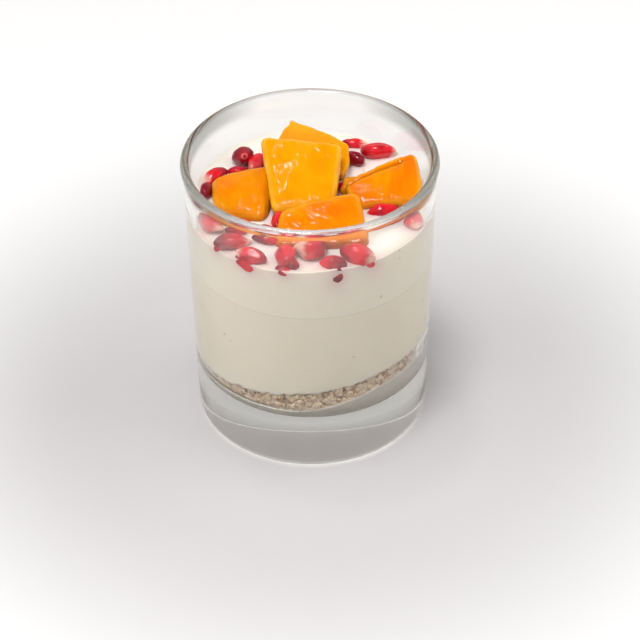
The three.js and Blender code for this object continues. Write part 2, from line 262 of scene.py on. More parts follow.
def turned(profile, segments):
    """Rings of points from a profile in the r, z plane: an array of rows by segments by 3."""
    turn = np.arange(segments) * 2 * math.pi / segments
    r = np.array([p[0] for p in profile])[:, None]
    z = np.array([p[1] for p in profile])[:, None]
    return np.stack([r * np.cos(turn), r * np.sin(turn), z + 0 * turn], axis=2)


def mesh_from_rings(name, rings):
    """A closed mesh from rings whose first and last rows are points on the axis."""
    rows, segments, _ = rings.shape
    vertices = [rings[0, 0]] + list(rings[1:-1].reshape(-1, 3)) + [rings[-1, 0]]
    last = len(vertices) - 1
    faces = []
    for row in range(rows - 3):
        for i in range(segments):
            a = 1 + row * segments + i
            b = 1 + row * segments + (i + 1) % segments
            faces.append((a, b, b + segments, a + segments))
    top = 1 + (rows - 3) * segments
    for i in range(segments):
        following = (i + 1) % segments
        faces.append((0, 1 + following, 1 + i))
        faces.append((last, top + i, top + following))
    mesh = bpy.data.meshes.new(name)
    mesh.from_pydata([tuple(v) for v in vertices], [], faces)
    return mesh


def add_piece(name, mesh, material, node):
    """Puts a finished mesh in the scene, on the part's body, in place of a CAD node."""
    mesh.update()
    mesh.shade_smooth()
    mesh.materials.append(material)
    piece = bpy.data.objects.new(name, mesh)
    bpy.context.scene.collection.objects.link(piece)
    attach(piece, "root")
    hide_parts(node)


def set_attribute(mesh, name, values):
    """Stores one number, or one vector, for each vertex."""
    values = np.asarray(values, np.float32)
    kind, key = ("FLOAT", "value") if values.ndim == 1 else ("FLOAT_VECTOR", "vector")
    mesh.attributes.new(name, kind, "POINT").data.foreach_set(key, values.ravel())


def coordinates(mesh):
    places = np.zeros(len(mesh.vertices) * 3, np.float32)
    mesh.vertices.foreach_get("co", places)
    return places.reshape(-1, 3).astype(float)


def set_coordinates(mesh, places):
    mesh.vertices.foreach_set("co", np.asarray(places, np.float32).ravel())
    mesh.update()


def scale_out(places, factors):
    """Moves points towards the axis or away from it."""
    places[:, 0] *= factors
    places[:, 1] *= factors


def cad_tree(names):
    """A search tree over the faces of CAD nodes."""
    vertices, faces = [], []
    for name in names:
        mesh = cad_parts[name].data
        start = len(vertices)
        vertices += [v.co.copy() for v in mesh.vertices]
        faces += [tuple(start + i for i in p.vertices) for p in mesh.polygons]
    return BVHTree.FromPolygons(vertices, faces)


def smooth_step(t):
    """From 0 to 1 as t does, without corners."""
    t = np.clip(t, 0.0, 1.0)
    return t * t * (3 - 2 * t)


# ---- materials


def rgba(tint):
    return (tint[0], tint[1], tint[2], 1.0)


class Nodes:
    """Adds nodes to a tree; most methods return an output for the next one to take."""

    def __init__(self, tree):
        self.tree = tree

    def add(self, kind, settings=None, inputs=None):
        """A node with its settings; an input is a value or another node's output."""
        node = self.tree.nodes.new("ShaderNode" + kind)
        for key, value in (settings or {}).items():
            setattr(node, key, value)
        for key, value in (inputs or {}).items():
            if isinstance(value, bpy.types.NodeSocket):
                self.tree.links.new(value, node.inputs[key])
            else:
                node.inputs[key].default_value = value
        return node

    def stretched(self, vector, scale):
        return self.add("Mapping", None, {"Vector": vector, "Scale": scale}).outputs["Vector"]

    def place(self, scale=(1.0, 1.0, 1.0)):
        """Object coordinates, in metres, stretched by a scale."""
        return self.stretched(self.add("TexCoord").outputs["Object"], scale)

    def split(self, vector):
        """The outputs X, Y and Z of a vector."""
        return self.add("SeparateXYZ", None, {"Vector": vector}).outputs

    def noise(self, vector, scale, detail=2.0):
        inputs = {"Vector": vector, "Scale": scale, "Detail": detail}
        return self.add("TexNoise", None, inputs).outputs["Fac"]

    def ramp(self, value, stops):
        """A colour ramp of (position, colour) stops."""
        node = self.add("ValToRGB", None, {"Fac": value})
        elements = node.color_ramp.elements
        while len(elements) > 1:
            elements.remove(elements[0])
        elements[0].position = stops[0][0]
        elements[0].color = rgba(stops[0][1])
        for position, tint in stops[1:]:
            elements.new(position).color = rgba(tint)
        return node.outputs["Color"]

    def remap(self, value, low, high, to_low=0.0, to_high=1.0):
        inputs = {"Value": value, "From Min": low, "From Max": high}
        inputs.update({"To Min": to_low, "To Max": to_high})
        return self.add("MapRange", {"clamp": True}, inputs).outputs["Result"]

    def mix(self, factor, first, second, blend="MIX"):
        """Two colours mixed; each is a colour or another node's output."""
        inputs = {0: factor, 6: first, 7: second}
        for key in (6, 7):
            if not isinstance(inputs[key], bpy.types.NodeSocket):
                inputs[key] = rgba(inputs[key])
        settings = {"data_type": "RGBA", "blend_type": blend}
        return self.add("Mix", settings, inputs).outputs[2]

    def attribute(self, name, output="Fac"):
        return self.add("Attribute", {"attribute_name": name}).outputs[output]

    def maths(self, operation, first, second=0.0, third=0.0):
        inputs = {0: first, 1: second, 2: third}
        return self.add("Math", {"operation": operation}, inputs).outputs["Value"]

    def band(self, value, middle, half_width):
        """One at the middle, falling to zero at the half width."""
        off = self.maths("ABSOLUTE", self.maths("SUBTRACT", value, middle))
        return self.remap(off, 0.0, half_width, 1.0, 0.0)

    def bump(self, height, distance, strength=1.0, normal=None):
        inputs = {"Height": height, "Distance": distance, "Strength": strength}
        if normal is not None:
            inputs["Normal"] = normal
        return self.add("Bump", None, inputs).outputs["Normal"]

    def choose(self, factor, first, second):
        """A shader between two others."""
        node = self.add("MixShader", None, {"Fac": factor})
        for shader, slot in ((first, 1), (second, 2)):
            self.tree.links.new(shader.outputs[0], node.inputs[slot])
        return node


class Material(Nodes):
    """A new material whose tree holds an output node."""

    def __init__(self, name):
        self.material = bpy.data.materials.new(name)
        self.material.use_nodes = True
        super().__init__(self.material.node_tree)
        self.tree.nodes.clear()
        self.output = self.add("OutputMaterial")

    def finish(self, shader, kind="Surface"):
        """Makes a shader the material's surface or volume."""
        self.tree.links.new(shader.outputs[0], self.output.inputs[kind])
        return self.material

    def principled(self, inputs):
        return self.finish(self.add("BsdfPrincipled", None, inputs))


def glass_material(settings):
    """Clear glass that dims long paths, with painted shade darkening the left and right sides of
    its lip.

    Light for shadows passes straight through it, and light caught between its faces
    leaves it after a few turns, so the lip doesn't go black.
    """
    nodes = Material("clear_glass")
    ripples = nodes.noise(nodes.place((1.0, 1.0, 0.35)), 60.0, 1.0)
    place = nodes.split(nodes.place())
    # painted shade: towards the left and right sides of the lip, near the top, the glass colour
    # turns to the darker lip colour
    side_from, side_to = 0.4 * settings.rim_radius, 0.85 * settings.rim_radius
    lip_from, lip_to = 0.93 * settings.height, 0.955 * settings.height
    aside = nodes.remap(nodes.maths("ABSOLUTE", place["X"]), side_from, side_to)
    high = nodes.remap(place["Z"], lip_from, lip_to)
    lip_painted_shade = nodes.mix(nodes.maths("MULTIPLY", aside, high), settings.tint, settings.lip)
    inputs = {
        "Color": lip_painted_shade,
        "Roughness": 0.0,
        "IOR": 1.5,
        "Normal": nodes.bump(ripples, settings.ripple),
    }
    glass = nodes.add("BsdfGlass", None, inputs)
    clear = nodes.add("BsdfTransparent", None, {"Color": rgba(settings.tint)})
    dimmed = nodes.add("BsdfTransparent", None, {"Color": lip_painted_shade})
    ray = nodes.add("LightPath").outputs
    caught = nodes.maths("GREATER_THAN", ray["Glossy Depth"], 2.5)
    freed = nodes.choose(caught, glass, dimmed)
    nodes.finish(nodes.choose(ray["Is Shadow Ray"], freed, clear))
    body = {"Color": rgba(settings.body), "Density": settings.density}
    return nodes.finish(nodes.add("VolumeAbsorption", None, body), "Volume")


def yogurt_material(settings):
    """Thick moist yogurt, stained where juice has bled into it, with painted light on its top and
    painted shade on its side and near the wall.
    """
    nodes = Material("thick_yogurt")
    place = nodes.place()
    cloud = nodes.noise(place, 90.0)
    grain = nodes.noise(place, 900.0, 3.0)
    warm = tuple(c * k for c, k in zip(settings.tint, (0.985, 0.97, 0.94)))
    tint = nodes.mix(nodes.remap(cloud, 0.35, 0.65), settings.tint, warm)
    height = nodes.split(place)["Z"]
    upper = nodes.remap(height, settings.mark - 0.1 * MM, settings.mark + 0.2 * MM, 0.0, 0.5)
    tint = nodes.mix(upper, tint, settings.upper)
    # painted light on the open top; the side keeps the darker tint as painted shade
    tint = nodes.mix(nodes.attribute("top"), tint, settings.top)
    line = nodes.maths("MULTIPLY", nodes.band(height, settings.mark, 0.3 * MM), 0.35)
    tint = nodes.mix(line, tint, settings.line)
    specks = nodes.remap(nodes.noise(place, 560.0, 0.0), 0.85, 0.87, 0.0, 0.6)
    tint = nodes.mix(specks, tint, settings.speck)
    tint = nodes.mix(nodes.attribute("juice"), tint, settings.juice)
    soft = nodes.bump(cloud, 0.25 * MM, 0.5)
    inputs = {
        "Base Color": tint,
        "Roughness": nodes.remap(grain, 0.3, 0.7, 0.28, 0.42),
        "Subsurface Weight": 0.35,
        "Subsurface Radius": (0.004, 0.003, 0.002),
        "Subsurface Scale": 1.0,
        "IOR": 1.4,
        "Normal": nodes.bump(grain, 0.03 * MM, 0.4, soft),
    }
    return nodes.principled(inputs)


def oats_material(settings):
    """Dry oat flakes, each of its own tone, with branny specks."""
    nodes = Material("oat_flakes")
    place = nodes.place()
    tone = nodes.attribute("tone")
    mid = tuple(0.5 * (a + b) for a, b in zip(settings.pale, settings.brown))
    tint = nodes.ramp(tone, [(0.0, settings.brown), (0.35, mid), (0.7, settings.pale)])
    specks = nodes.remap(nodes.noise(place, 1300.0), 0.6, 0.7)
    tint = nodes.mix(specks, tint, nodes.mix(0.3, settings.brown, settings.pale))
    damp = nodes.attribute("damp")
    tint = nodes.mix(damp, tint, settings.damp)
    rough = nodes.noise(place, 2200.0, 3.0)
    inputs = {
        "Base Color": tint,
        "Roughness": nodes.remap(rough, 0.3, 0.7, 0.65, 0.95),
        "Subsurface Weight": 0.15,
        "Subsurface Radius": (0.001, 0.0007, 0.0004),
        "Subsurface Scale": 1.0,
        "Normal": nodes.bump(rough, 0.12 * MM, nodes.remap(damp, 0.0, 1.0, 0.8, 0.1)),
    }
    return nodes.principled(inputs)


def peach_material(settings):
    """Wet peach flesh: yellow to orange, with fibres and wet streaks along its grain, painted
    highlights on its rounded edges and painted shade on its flanks, underside and groove.
    """
    nodes = Material("peach_flesh")
    grain = nodes.attribute("grain_place", "Vector")
    streaks = nodes.noise(nodes.stretched(grain, (1.0, 0.25, 1.0)), 620.0, 3.0)
    cloud = nodes.noise(grain, 110.0)
    wet = nodes.noise(nodes.stretched(grain, (1.0, 0.24, 1.0)), 1050.0, 0.5)
    puddles = nodes.noise(nodes.stretched(grain, (1.0, 0.6, 1.0)), 190.0, 1.0)
    tint = nodes.mix(nodes.attribute("deep"), settings.yellow, settings.orange)
    tint = nodes.mix(nodes.remap(cloud, 0.35, 0.7, 0.0, 0.3), tint, settings.orange)
    tint = nodes.mix(nodes.remap(streaks, 0.5, 0.8, 0.0, 0.3), tint, settings.light)
    # painted highlight: the rounded edges turn pale
    tint = nodes.mix(nodes.attribute("painted_edge_highlight"), tint, settings.pale)
    # painted shade on the flanks, the underside and a darker near end
    tint = nodes.mix(nodes.attribute("shade"), tint, settings.shade)
    # painted shade in the groove
    tint = nodes.mix(nodes.attribute("painted_crease_shade"), tint, settings.painted_crease_shade)
    inputs = {
        "Base Color": tint,
        "Roughness": nodes.remap(streaks, 0.3, 0.7, 0.4, 0.55),
        "Specular IOR Level": 0.0,
        "Subsurface Weight": 0.5,
        "Subsurface Radius": (0.004, 0.0018, 0.0002),
        "Subsurface Scale": 1.0,
        "Coat Weight": 0.9,
        "Coat Roughness": 0.08,
        "Coat IOR": 1.33,
        "IOR": 1.4,
        "Normal": nodes.bump(streaks, 0.12 * MM, 0.5),
        "Coat Normal": nodes.bump(wet, settings.film, nodes.remap(puddles, 0.42, 0.58, 0.35, 1.0)),
    }
    return nodes.principled(inputs)


def aril_material(settings):
    """Glossy juicy skin: dark at the blunt end, partly painted shade, bright in the middle as a
    painted glow, pale at the tip.
    """
    nodes = Material("pomegranate_skin")
    own = nodes.attribute("own", "Vector")
    own_parts = nodes.split(own)
    place = nodes.place()
    cloud = nodes.noise(place, 300.0)
    rays = nodes.noise(nodes.stretched(own, (0.5, 2.4, 2.4)), 2.2, 3.0)
    along = nodes.maths("MULTIPLY_ADD", own_parts["X"], 0.5, 0.5)
    shift = nodes.maths("MULTIPLY_ADD", nodes.maths("SUBTRACT", cloud, 0.5), 0.55, along)
    reach = nodes.maths("SUBTRACT", shift, nodes.attribute("dark_flesh_and_shade"))
    bright = settings.bright
    # the dark end is partly the flesh's own colour and partly painted shade; the bright middle is
    # a painted glow
    stops = [(0.30, settings.dark), (0.56, bright), (0.86, bright), (0.93, settings.blush)]
    tint = nodes.ramp(nodes.remap(reach, -1.0, 1.0), stops)
    blotches = nodes.noise(place, 210.0)
    tint = nodes.mix(nodes.remap(blotches, 0.5, 0.68, 0.0, 0.55), tint, settings.dark)
    tip = nodes.maths("MULTIPLY_ADD", nodes.maths("SUBTRACT", rays, 0.5), 0.35, along)
    tip = nodes.maths("SUBTRACT", tip, nodes.attribute("pale_from"))
    tint = nodes.mix(nodes.remap(tip, 0.0, 0.16), tint, settings.pale)
    side, height = own_parts["Y"], own_parts["Z"]
    off_axis = nodes.maths("MULTIPLY_ADD", height, height, nodes.maths("MULTIPLY", side, side))
    off_axis = nodes.maths("SQRT", off_axis)
    front = nodes.remap(own_parts["X"], 0.0, 0.3)
    scar = nodes.maths("MULTIPLY", nodes.attribute("scar"), front)
    ring = nodes.maths("MULTIPLY", nodes.band(off_axis, 0.36, 0.12), scar)
    tint = nodes.mix(ring, tint, settings.ring)
    inputs = {
        "Base Color": tint,
        "Roughness": nodes.remap(cloud, 0.3, 0.7, 0.1, 0.22),
        "Specular IOR Level": 0.35,
        "Subsurface Weight": 0.35,
        "Subsurface Radius": (0.0025, 0.0002, 0.0003),
        "Subsurface Scale": 1.0,
        "Coat Weight": 0.6,
        "Coat Roughness": 0.05,
        "IOR": 1.38,
        "Normal": nodes.bump(nodes.maths("ADD", cloud, ring), 0.1 * MM, 0.6),
    }
    return nodes.principled(inputs)


# ---- the glass

# Steps of the section: hollow, rounded heel, wall, lip, inside corner and inside floor.
RECESS_STEPS = 40
HEEL_STEPS = 14
WALL_STEPS = 24
LIP_STEPS = 22
CORNER_STEPS = 16
FLOOR_STEPS = 8
LIP_BLEND = 1.5  # how far below the lip's middle it blends into the wall, in lip radii


def bore_profile(glass, top, inset):
    """The inside of the tumbler from height top down to the axis, set in by inset."""
    corner_top = glass.floor + glass.floor_corner
    centre = (inner_radius(glass, corner_top) - glass.floor_corner, corner_top)
    points = [(inner_radius(glass, top) - inset, top)]
    points += ladder(points[0], (inner_radius(glass, corner_top) - inset, corner_top), WALL_STEPS)
    points += arc(centre, glass.floor_corner - inset, 0, -90, CORNER_STEPS)[1:]
    points += ladder(points[-1], (0.0, glass.floor + inset), FLOOR_STEPS)
    return points


def glass_profile(glass):
    """The whole section of the tumbler, from the axis under the base and round."""
    points = []
    for i in range(RECESS_STEPS):
        part = i / RECESS_STEPS
        hollow = glass.recess * (1 + math.cos(math.pi * part)) / 2
        points.append((glass.foot_inner * part, hollow))
    points.append((glass.foot_outer, 0.0))
    heel_width = outer_radius(glass, glass.heel_height) - glass.foot_outer
    for i in range(1, HEEL_STEPS + 1):
        turn = math.radians(90 * i / HEEL_STEPS)
        r = glass.foot_outer + heel_width * math.sin(turn)
        points.append((r, glass.heel_height * (1 - math.cos(turn))))
    lip = (glass.rim_radius - glass.lip_radius, glass.height - glass.lip_radius)
    lip_foot = lip[1] - LIP_BLEND * glass.lip_radius
    points += ladder(points[-1], (outer_radius(glass, lip_foot), lip_foot), WALL_STEPS)
    points += arc(lip, glass.lip_radius, -40, 180, LIP_STEPS)
    points += bore_profile(glass, lip_foot, 0.0)
    return points


# ---- yogurt

YOGURT_SEGMENTS = 288
BOTTOM_RINGS = 12
SIDE_RINGS = 90
TOP_RINGS = 110
NEAR = 6 * MM  # how far from the yogurt fruit still acts on it


def oat_height(oats, glass, x, y):
    """Height of the top of the bed of oats at a place."""
    uphill = x * math.cos(oats.slope_heading) + y * math.sin(oats.slope_heading)
    return oats.level + oats.slope * uphill / glass.bore_radius


def bare_height(oats, glass, x, y):
    """Height on the glass up to which the bed shows its smooth underside."""
    heading = np.arctan2(y, x) - oats.slope_heading
    return glass.floor + oats.bare + oats.bare_rise * smooth_step(np.cos(heading))


def yogurt_body(settings):
    """The yogurt from the oats up to its surface, with the stain of the juice and the share of
    painted light on its top.

    The profile's second number tells the kind of point: 0 to 1 up the side, 2 on top.
    """
    glass, yogurt, oats = settings.glass, settings.yogurt, settings.oats
    wall = inner_radius(glass, yogurt.level)
    profile = [(wall * i / BOTTOM_RINGS, 0.0) for i in range(BOTTOM_RINGS)]
    profile += [(wall, i / SIDE_RINGS) for i in range(SIDE_RINGS + 1)]
    inward = [(i / TOP_RINGS) ** 1.25 for i in range(1, TOP_RINGS + 1)]
    profile += [(wall * (1 - part), 2.0) for part in inward]
    rings = turned(profile, YOGURT_SEGMENTS)
    flat = rings.reshape(-1, 3)
    x, y, kind = flat[:, 0], flat[:, 1], flat[:, 2].copy()
    spots = [Vector((a / MM * 0.75, b / MM * 0.75, 3.1)) for a, b in zip(x, y)]
    rough_edge = np.array([noise.noise(spot) for spot in spots])
    bottom = oat_height(oats, glass, x, y) + yogurt.lower_edge * rough_edge
    out = np.hypot(x, y) / wall
    waves = np.sin(170 * x + 0.6) * np.cos(140 * y - 0.4)
    tilt = yogurt.lean * y / wall - yogurt.twist * x * y / wall**2
    surface = yogurt.level + tilt + yogurt.swell * waves
    top = surface + yogurt.wall_climb * np.clip(out, 0, 1) ** 60
    fruit = cad_tree(ARIL_NODES + PEACH_NODES)
    for i in np.nonzero(kind > 1.5)[0]:
        gap = fruit.find_nearest(Vector((x[i], y[i], yogurt.level)), NEAR)[3]
        if gap is not None:
            top[i] += yogurt.fruit_climb * math.exp(-gap / (0.7 * MM))
    side = bottom + (surface + yogurt.wall_climb - bottom) * np.clip(kind, 0, 1)
    flat[:, 2] = np.where(kind > 1.5, top, np.where(kind > 0, side, bottom))
    on_wall = (kind <= 1.0) & (out > 0.999)
    reach = inner_radius(glass, flat[:, 2]) + yogurt.overlap
    scale_out(flat, np.where(on_wall, reach / wall, 1.0))
    mesh = mesh_from_rings("yogurt_body", flat.reshape(rings.shape))
    places = coordinates(mesh)
    arils = cad_tree(ARIL_NODES)
    stain = np.zeros(len(places))
    for i, place in enumerate(places):
        gap = arils.find_nearest(Vector(place), NEAR)[3]
        if gap is not None:
            stain[i] = yogurt.stain * math.exp(-gap / yogurt.stain_reach)
    set_attribute(mesh, "juice", stain)
    r = np.hypot(places[:, 0], places[:, 1])
    on_side = r > inner_radius(glass, places[:, 2]) - 0.01 * MM
    # painted light on the top, fading to painted shade towards the wall; the side gets only the
    # least share
    least = 0.15
    painted_top_light = least + (1 - least) * smooth_step((wall - r) / yogurt.shore)
    set_attribute(mesh, "top", np.where(on_side, least, painted_top_light))
    return mesh


# ---- oats

CORE_SEGMENTS = 180
CORE_RINGS = 8


def flake_shape(random, crumb):
    """One oat flake: a thin bent lens with an uneven outline, and its faces."""
    sides = 8
    stretch = random.uniform(0.8, 1.25)
    turns = np.arange(sides) * 2 * math.pi / sides
    uneven = 1 + 0.18 * random.standard_normal(sides)
    size = crumb * random.uniform(0.55, 1.25)
    thick = size * random.uniform(0.25, 0.45)
    points = [(0.0, 0.0, thick / 2)]
    for radius, height in ((0.6, 0.42), (1.0, 0.0), (0.6, -0.42)):
        r = size / 2 * radius * uneven
        x, y = r * np.cos(turns) * stretch, r * np.sin(turns) / stretch
        points += list(zip(x, y, np.full(sides, height * thick)))
    points.append((0.0, 0.0, -thick / 2))
    points = np.array(points)
    points[:, 2] += random.uniform(-0.25, 0.25) * size * (points[:, 0] / size) ** 2 * 4
    points += random.standard_normal(points.shape) * 0.035 * size
    faces = []
    for ring in range(2):
        for i in range(sides):
            a = 1 + ring * sides + i
            b = 1 + ring * sides + (i + 1) % sides
            faces.append((a, a + sides, b + sides, b))
    for i in range(sides):
        following = (i + 1) % sides
        faces.append((0, 1 + i, 1 + following))
        faces.append((1 + 3 * sides, 1 + 2 * sides + following, 1 + 2 * sides + i))
    return points, faces


def turn_matrix(random, lean):
    """A random turn about Z after a random lean of up to `lean` radians."""
    tip = Matrix.Rotation(random.uniform(-lean, lean), 3, "X")
    roll = Matrix.Rotation(random.uniform(-lean, lean), 3, "Y")
    spin = Matrix.Rotation(random.uniform(0, 2 * math.pi), 3, "Z")
    return np.array(tip @ roll @ spin)


def oat_flakes(settings):
    """Loose flakes against the wall, joined in one mesh."""
    glass, oats = settings.glass, settings.oats
    random = np.random.default_rng(21)
    corner_top = glass.floor + glass.floor_corner
    corner_centre = inner_radius(glass, corner_top) - glass.floor_corner
    margin = 0.3 * MM
    vertices, faces, tones = [], [], []

    def place_flake(shape, axes, at):
        """Adds a flake, pushed back inside the glass where it sticks out."""
        points, flake_faces = shape
        start = sum(len(v) for v in vertices)
        placed = points @ axes.T + at
        r = np.hypot(placed[:, 0], placed[:, 1])
        z = placed[:, 2]
        below = z < corner_top
        drop = np.clip(corner_top - z, 0, None)
        off = np.maximum(r - corner_centre, 0)
        reach = np.hypot(off, drop)
        limit = glass.floor_corner - oats.air
        squeeze = np.where(below & (reach > limit), limit / np.maximum(reach, 1e-9), 1.0)
        in_corner = np.where(r > corner_centre, corner_centre + off * squeeze, r)
        on_wall = np.minimum(r, inner_radius(glass, z) - oats.air)
        new_r = np.where(below, in_corner, on_wall)
        new_z = np.where(below, corner_top - drop * squeeze, z)
        placed[:, 2] = np.maximum(new_z, glass.floor + oats.air)
        scale_out(placed, new_r / np.maximum(r, 1e-9))
        vertices.append(placed)
        faces.extend(tuple(start + i for i in face) for face in flake_faces)
        pale, brown = random.uniform(0.55, 1.0), random.uniform(0.0, 0.5)
        tone = random.choice([pale, brown], p=[0.78, 0.22])
        tones.extend([tone] * len(points))

    for _ in range(oats.wall_count):
        turn = random.uniform(0, 2 * math.pi)
        radial = np.array([math.cos(turn), math.sin(turn), 0.0])
        around = np.array([-math.sin(turn), math.cos(turn), 0.0])
        wall = inner_radius(glass, corner_top)
        top = oat_height(oats, glass, wall * radial[0], wall * radial[1]) - margin
        top += random.normal(0, 0.45 * MM)
        z = random.uniform(bare_height(oats, glass, radial[0], radial[1]) - margin, top)
        inward = random.uniform(0.2, 1.6) * MM
        lean = 0.0
        if z < corner_top:
            drop = corner_top - z
            r = corner_centre + math.sqrt(max(0.0, (glass.floor_corner - inward) ** 2 - drop**2))
            lean = math.asin(min(1.0, drop / glass.floor_corner))
        else:
            r = inner_radius(glass, z) - inward
        outward = radial * math.cos(lean) - np.array([0.0, 0.0, math.sin(lean)])
        upward = np.cross(outward, around) * -1
        axes = np.stack([around, upward, outward], axis=1) @ turn_matrix(random, 0.5)
        place_flake(flake_shape(random, oats.crumb), axes, radial * r + np.array([0.0, 0.0, z]))
    mesh = bpy.data.meshes.new("oat_flakes")
    mesh.from_pydata([tuple(v) for part in vertices for v in part], [], faces)
    set_attribute(mesh, "tone", tones)
    set_attribute(mesh, "damp", np.zeros(len(tones)))
    return mesh


def oat_core(settings):
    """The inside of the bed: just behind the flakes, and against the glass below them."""
    glass, oats = settings.glass, settings.oats
    shells = []
    for gap in (-oats.overlap, oats.packed):
        profile = list(reversed(bore_profile(glass, oats.level, gap)))
        rim = profile[-1][0]
        inward = [1 - i / CORE_RINGS for i in range(1, CORE_RINGS + 1)]
        profile += [(rim * part, oats.level) for part in inward]
        shells.append(turned(profile, CORE_SEGMENTS).reshape(-1, 3))
    touching, behind = shells
    bare = bare_height(oats, glass, touching[:, 0], touching[:, 1])
    above = smooth_step((touching[:, 2] - bare) / oats.fade)
    near_floor = smooth_step((glass.floor + 0.9 * MM - touching[:, 2]) / (0.6 * MM))
    packed = np.maximum(above, near_floor)[:, None]
    flat = touching + (behind - touching) * packed
    high = oat_height(oats, glass, flat[:, 0], flat[:, 1]) - 0.6 * MM
    base = glass.floor + oats.packed
    lift = 1 + ((high - base) / (oats.level - base) - 1) * above
    flat[:, 2] = np.where(above > 0, base + (flat[:, 2] - base) * lift, flat[:, 2])
    rough = np.array([noise.fractal(Vector(p) / MM * 0.5, 1.0, 2.0, 3) for p in flat])
    r = np.hypot(flat[:, 0], flat[:, 1])
    scale_out(flat, 1 + 0.5 * MM * rough * above / np.maximum(r, 5 * MM))
    mesh = mesh_from_rings("oat_core", flat.reshape(-1, CORE_SEGMENTS, 3))
    tones = [0.6 + 0.45 * noise.noise(v.co / MM * 0.8) for v in mesh.vertices]
    set_attribute(mesh, "tone", np.clip(tones, 0, 1))
    damp = 1 - packed[:, 0].reshape(-1, CORE_SEGMENTS)
    set_attribute(mesh, "damp", np.concatenate([[damp[0, 0]], damp[1:-1].ravel(), [0.0]]))
    return mesh


# ---- peach

# Each piece in millimetres. Its upper face has two near corners, from left to right,
# and two far ones, from right to left. Then come its thickness, crown and edge rounding,
# how far its sides bulge and how much smaller its lower face is.
# Its finish: how deep its colour is, how strong the painted highlight on its edges is and
# how many degrees its grain turns. Some have a groove (where it runs from near, -1, to far,
# 1), a darker near end (painted shade) or a torn far left corner that sticks out.
PEACH_FORMS = {
    "peach_front": {
        "near": ((-11.2, -25.5, 81), (18.2, -26.5, 81)),
        "far": ((15.2, -7.4, 88.8), (-9.6, -13.4, 85.6)),
        "thickness": 7.5, "crown": 0.9, "edge": 3.1, "bulge": 0.03, "under": 0.88,
        "deep": 0.7, "painted_edge_highlight": 0.3, "grain": -50, "near_painted_shade": 0.95,
    },
    "peach_top": {
        "near": ((-11.6, -12.8, 84), (7.6, -9.6, 84.1)),
        "far": ((10.5, 10.8, 93.1), (-15.8, 14.4, 93.9)),
        "thickness": 6.6, "crown": 1.1, "edge": 2.4, "bulge": 0.02, "under": 0.92,
        "deep": 0.12, "painted_edge_highlight": 0.75, "grain": -27,
    },
    "peach_left": {
        "near": ((-29.4, -9, 81.6), (-13.6, -12.8, 81.5)),
        "far": ((-11, 9, 87.2), (-31.4, 5.2, 84.6)),
        "thickness": 7, "crown": 1.5, "edge": 2.8, "bulge": 0.06, "under": 0.88,
        "deep": 0.65, "painted_edge_highlight": 0.4, "grain": -30,
    },
    "peach_right": {
        "near": ((14.6, -7.2, 81.2), (34.6, -4.2, 82)),
        "far": ((33.2, 14.2, 88.2), (10.4, 2.4, 84.6)),
        "thickness": 7.5, "crown": 1.2, "edge": 2.4, "bulge": 0.09, "under": 0.86,
        "deep": 0.85, "painted_edge_highlight": 0.5, "grain": 20, "groove": 0.62,
    },
    "peach_back": {
        "near": ((-12, 14, 86), (10.2, 6.5, 83.6)),
        "far": ((12.4, 18.6, 87.4), (-5.8, 31.2, 88.3)),
        "thickness": 7, "crown": 0.9, "edge": 1.7, "bulge": 0.15, "under": 0.85,
        "deep": 0, "painted_edge_highlight": 0.3, "grain": 0, "torn": 3,
    },
    "peach_low": {
        "near": ((9, 0.6, 82), (15.5, 2, 82)),
        "far": ((16.5, 7.2, 83.2), (10.2, 7.6, 83)),
        "thickness": 5.5, "crown": 0.5, "edge": 1.6, "bulge": 0.03, "under": 0.9,
        "deep": 0.5, "painted_edge_highlight": 0.2, "grain": 0,
    },
}
PEACH_STEPS = 36  # faces along each side of a piece


def cube_grid(steps):
    """Points and faces of a cube from -1 to 1, each side cut in steps by steps.

    The steps are narrower towards the edges, where the rounding needs them.
    """
    points, faces, known = [], [], {}

    def vertex(p):
        key = tuple(round(c, 6) for c in p)
        if key not in known:
            known[key] = len(points)
            points.append(p)
        return known[key]

    ticks = [math.sin(math.pi / 2 * (2 * i / steps - 1)) for i in range(steps + 1)]
    for axis in range(3):
        for side in (-1, 1):
            for i in range(steps):
                for j in range(steps):
                    corners = [(i, j), (i + 1, j), (i + 1, j + 1), (i, j + 1)]
                    if side < 0:
                        corners.reverse()
                    face = []
                    for a, b in corners:
                        p = [0.0, 0.0, 0.0]
                        p[axis] = float(side)
                        p[(axis + 1) % 3] = ticks[a]
                        p[(axis + 2) % 3] = ticks[b]
                        face.append(vertex(tuple(p)))
                    faces.append(face)
    return np.array(points), faces


